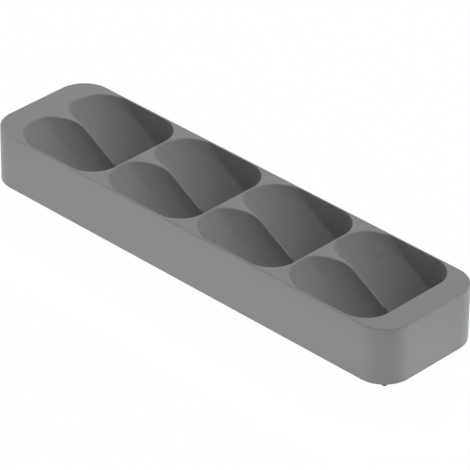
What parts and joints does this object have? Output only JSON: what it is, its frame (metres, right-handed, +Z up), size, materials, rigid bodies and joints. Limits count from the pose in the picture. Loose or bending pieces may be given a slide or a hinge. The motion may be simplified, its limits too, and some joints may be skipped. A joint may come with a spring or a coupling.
{
  "type": "spice storage box",
  "caption": "Long, low drawer tray of moulded grey plastic with paired sloping troughs for spice jars, on small rubber feet.",
  "frame": {"origin": "on the surface that the feet stand on, under the middle of the tray", "axes": "+X along the tray towards the deep ends of its pockets, +Y across it to the back, +Z up"},
  "size_m": [0.4, 0.0996, 0.048],
  "materials": {
    "tray_plastic": "satin grey polypropylene with a fine moulded texture",
    "foot_rubber": "matt black rubber"
  },
  "bodies": {
    "root": {"tray": "tray_plastic", "foot_front_left": "foot_rubber", "foot_front_right": "foot_rubber", "foot_back_left": "foot_rubber", "foot_back_right": "foot_rubber"}
  },
  "joints": []
}
